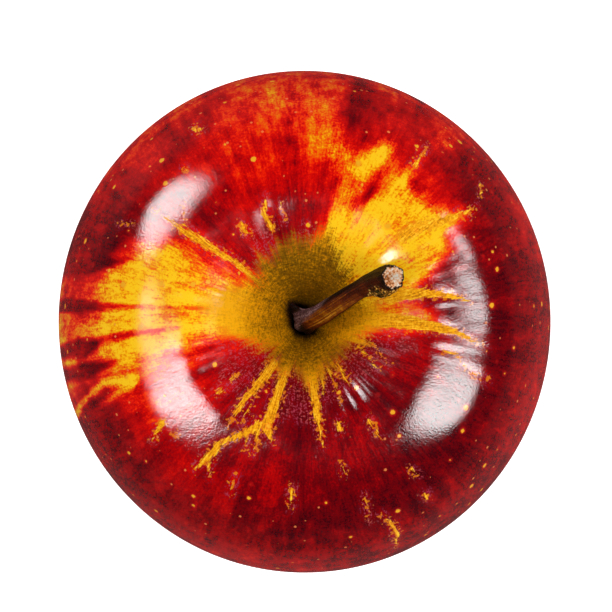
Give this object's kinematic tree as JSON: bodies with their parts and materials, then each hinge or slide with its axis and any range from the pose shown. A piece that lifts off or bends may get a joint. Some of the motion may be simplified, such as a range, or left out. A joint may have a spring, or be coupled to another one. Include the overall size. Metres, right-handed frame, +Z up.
{
  "type": "red apple",
  "caption": "Whole red apple with a woody stalk leaning out of its hollow and a dried flower in its eye, standing on its foot.",
  "frame": {"origin": "on the resting plane, below the middle of the fruit", "axes": "+Z up, from the eye to the stalk; the stalk leans towards +X and a little towards +Y"},
  "size_m": [0.0772, 0.0788, 0.0713],
  "materials": {
    "skin": "gloss",
    "stalk_bark": "matte",
    "dried_flower": "matte"
  },
  "bodies": {
    "root": {"fruit": "skin", "stalk": "stalk_bark", "sepal_1": "dried_flower", "sepal_2": "dried_flower", "sepal_3": "dried_flower", "sepal_4": "dried_flower", "sepal_5": "dried_flower", "stamen_01": "dried_flower", "stamen_02": "dried_flower", "stamen_03": "dried_flower", "stamen_04": "dried_flower", "stamen_05": "dried_flower", "stamen_06": "dried_flower", "stamen_07": "dried_flower", "stamen_08": "dried_flower", "stamen_09": "dried_flower", "stamen_10": "dried_flower", "style_column": "dried_flower"}
  },
  "joints": []
}
